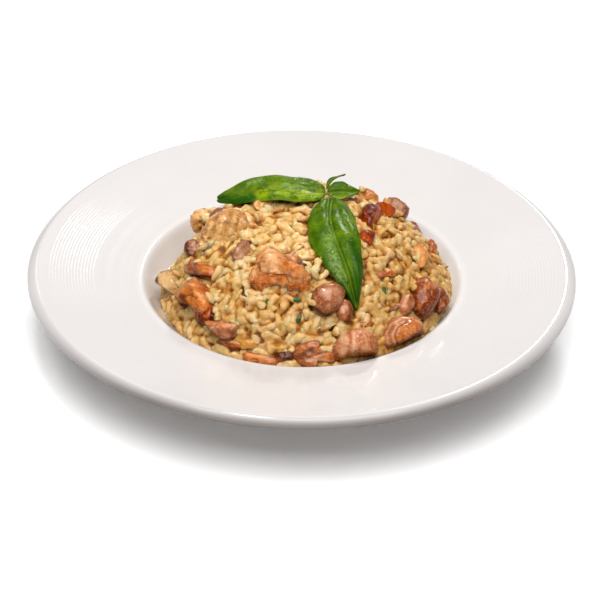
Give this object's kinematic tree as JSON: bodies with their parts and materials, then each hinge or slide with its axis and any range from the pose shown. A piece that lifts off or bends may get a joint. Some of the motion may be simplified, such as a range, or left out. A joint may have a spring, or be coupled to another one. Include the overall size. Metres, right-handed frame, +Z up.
{
  "type": "mushroom risotto on a plate",
  "caption": "Mushroom risotto heaped in a white wide-rimmed pasta plate, with browned mushroom pieces through the rice and a basil sprig on top.",
  "frame": {"origin": "centre of the plate's foot ring, on the table", "axes": "+Z up, -Y towards the diner, +X to the diner's right"},
  "size_m": [0.29, 0.29, 0.0781],
  "materials": {
    "glaze": "glossy white glaze",
    "rice": "creamy cooked rice, wet",
    "mushroom": "fried mushroom, glistening with oil",
    "onion": "translucent browned onion",
    "basil": "fresh basil leaf, satin"
  },
  "bodies": {
    "root": {"plate": "glaze", "basil_leaf_front": "basil", "basil_leaf_left": "basil", "basil_leaf_small": "basil", "basil_shoot": "basil", "mushroom_cap_front": "mushroom", "mushroom_stem_front": "mushroom", "mushroom_folded_front": "mushroom", "mushroom_ringed_right": "mushroom", "mushroom_lobed_right": "mushroom", "mushroom_lobe_right": "mushroom", "mushroom_stem_right": "mushroom", "mushroom_slice_front": "mushroom", "mushroom_dark_front": "mushroom", "mushroom_strip_front": "mushroom", "onion_front": "onion", "mushroom_pointed_front": "mushroom", "mushroom_strip_left": "mushroom", "mushroom_browned_left": "mushroom", "mushroom_lobe_left": "mushroom", "mushroom_pale_left": "mushroom", "mushroom_amber_left": "mushroom", "mushroom_mauve_left": "mushroom", "mushroom_craggy_middle": "mushroom", "mushroom_mauve_middle": "mushroom", "mushroom_gilled_left": "mushroom", "mushroom_cap_far_left": "mushroom", "mushroom_pink_far_left": "mushroom", "mushroom_mauve_far_left": "mushroom", "mushroom_tan_under_leaf": "mushroom", "mushroom_glazed_top": "mushroom", "mushroom_amber_top": "mushroom", "mushroom_amber_bit_top": "mushroom", "mushroom_mauve_bit_top": "mushroom", "mushroom_amber_crest": "mushroom", "mushroom_cap_crest": "mushroom", "mushroom_peach_right": "mushroom", "mushroom_strip_right": "mushroom", "mushroom_brown_bit_right": "mushroom", "mushroom_grey_bit_right": "mushroom", "mushroom_thin_bit_front": "mushroom", "mushroom_cap_back": "mushroom", "mushroom_half_back_left": "mushroom", "mushroom_slice_back_right": "mushroom", "mushroom_wedge_back": "mushroom", "mushroom_stem_back_left": "mushroom", "mushroom_cap_back_right": "mushroom", "risotto": "rice"}
  },
  "joints": []
}
